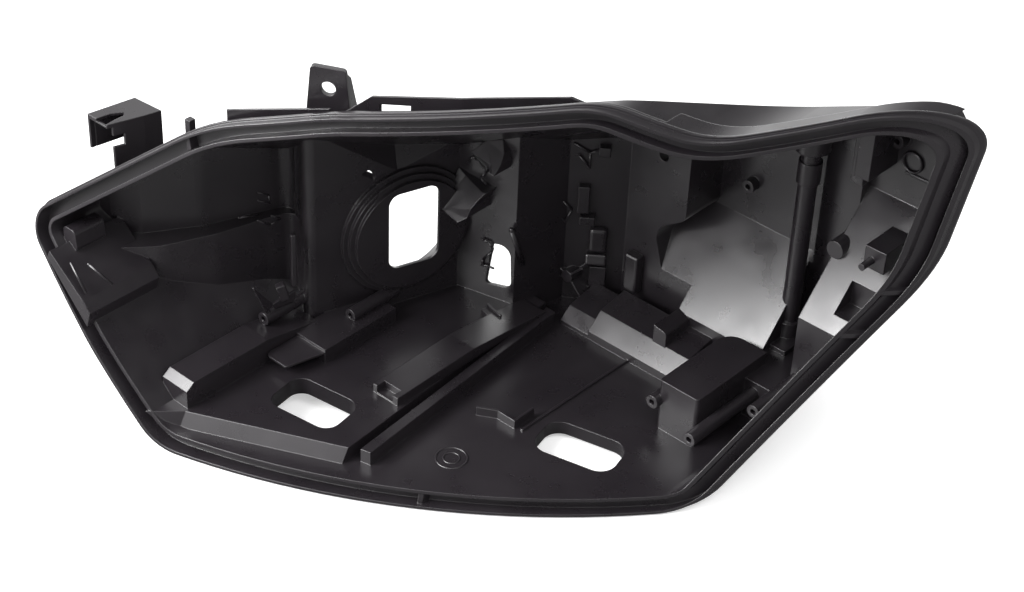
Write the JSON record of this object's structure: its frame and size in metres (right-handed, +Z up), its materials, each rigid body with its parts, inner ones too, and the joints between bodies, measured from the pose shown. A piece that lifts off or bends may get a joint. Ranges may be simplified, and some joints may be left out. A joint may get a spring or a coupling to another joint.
{
  "type": "moulded lamp housing",
  "caption": "Thin-walled black plastic housing of a vehicle headlamp, with a glue channel round its lens opening, screw bosses, ribs and a round rear socket.",
  "frame": {"origin": "centre of the surface that the housing stands on", "axes": "+X along the long side to the tall end, +Y from the lens opening to the back, +Z up"},
  "size_m": [0.519, 0.4126, 0.3078],
  "materials": {
    "housing": "semi-gloss"
  },
  "bodies": {
    "root": {"housing": "housing"}
  },
  "joints": []
}
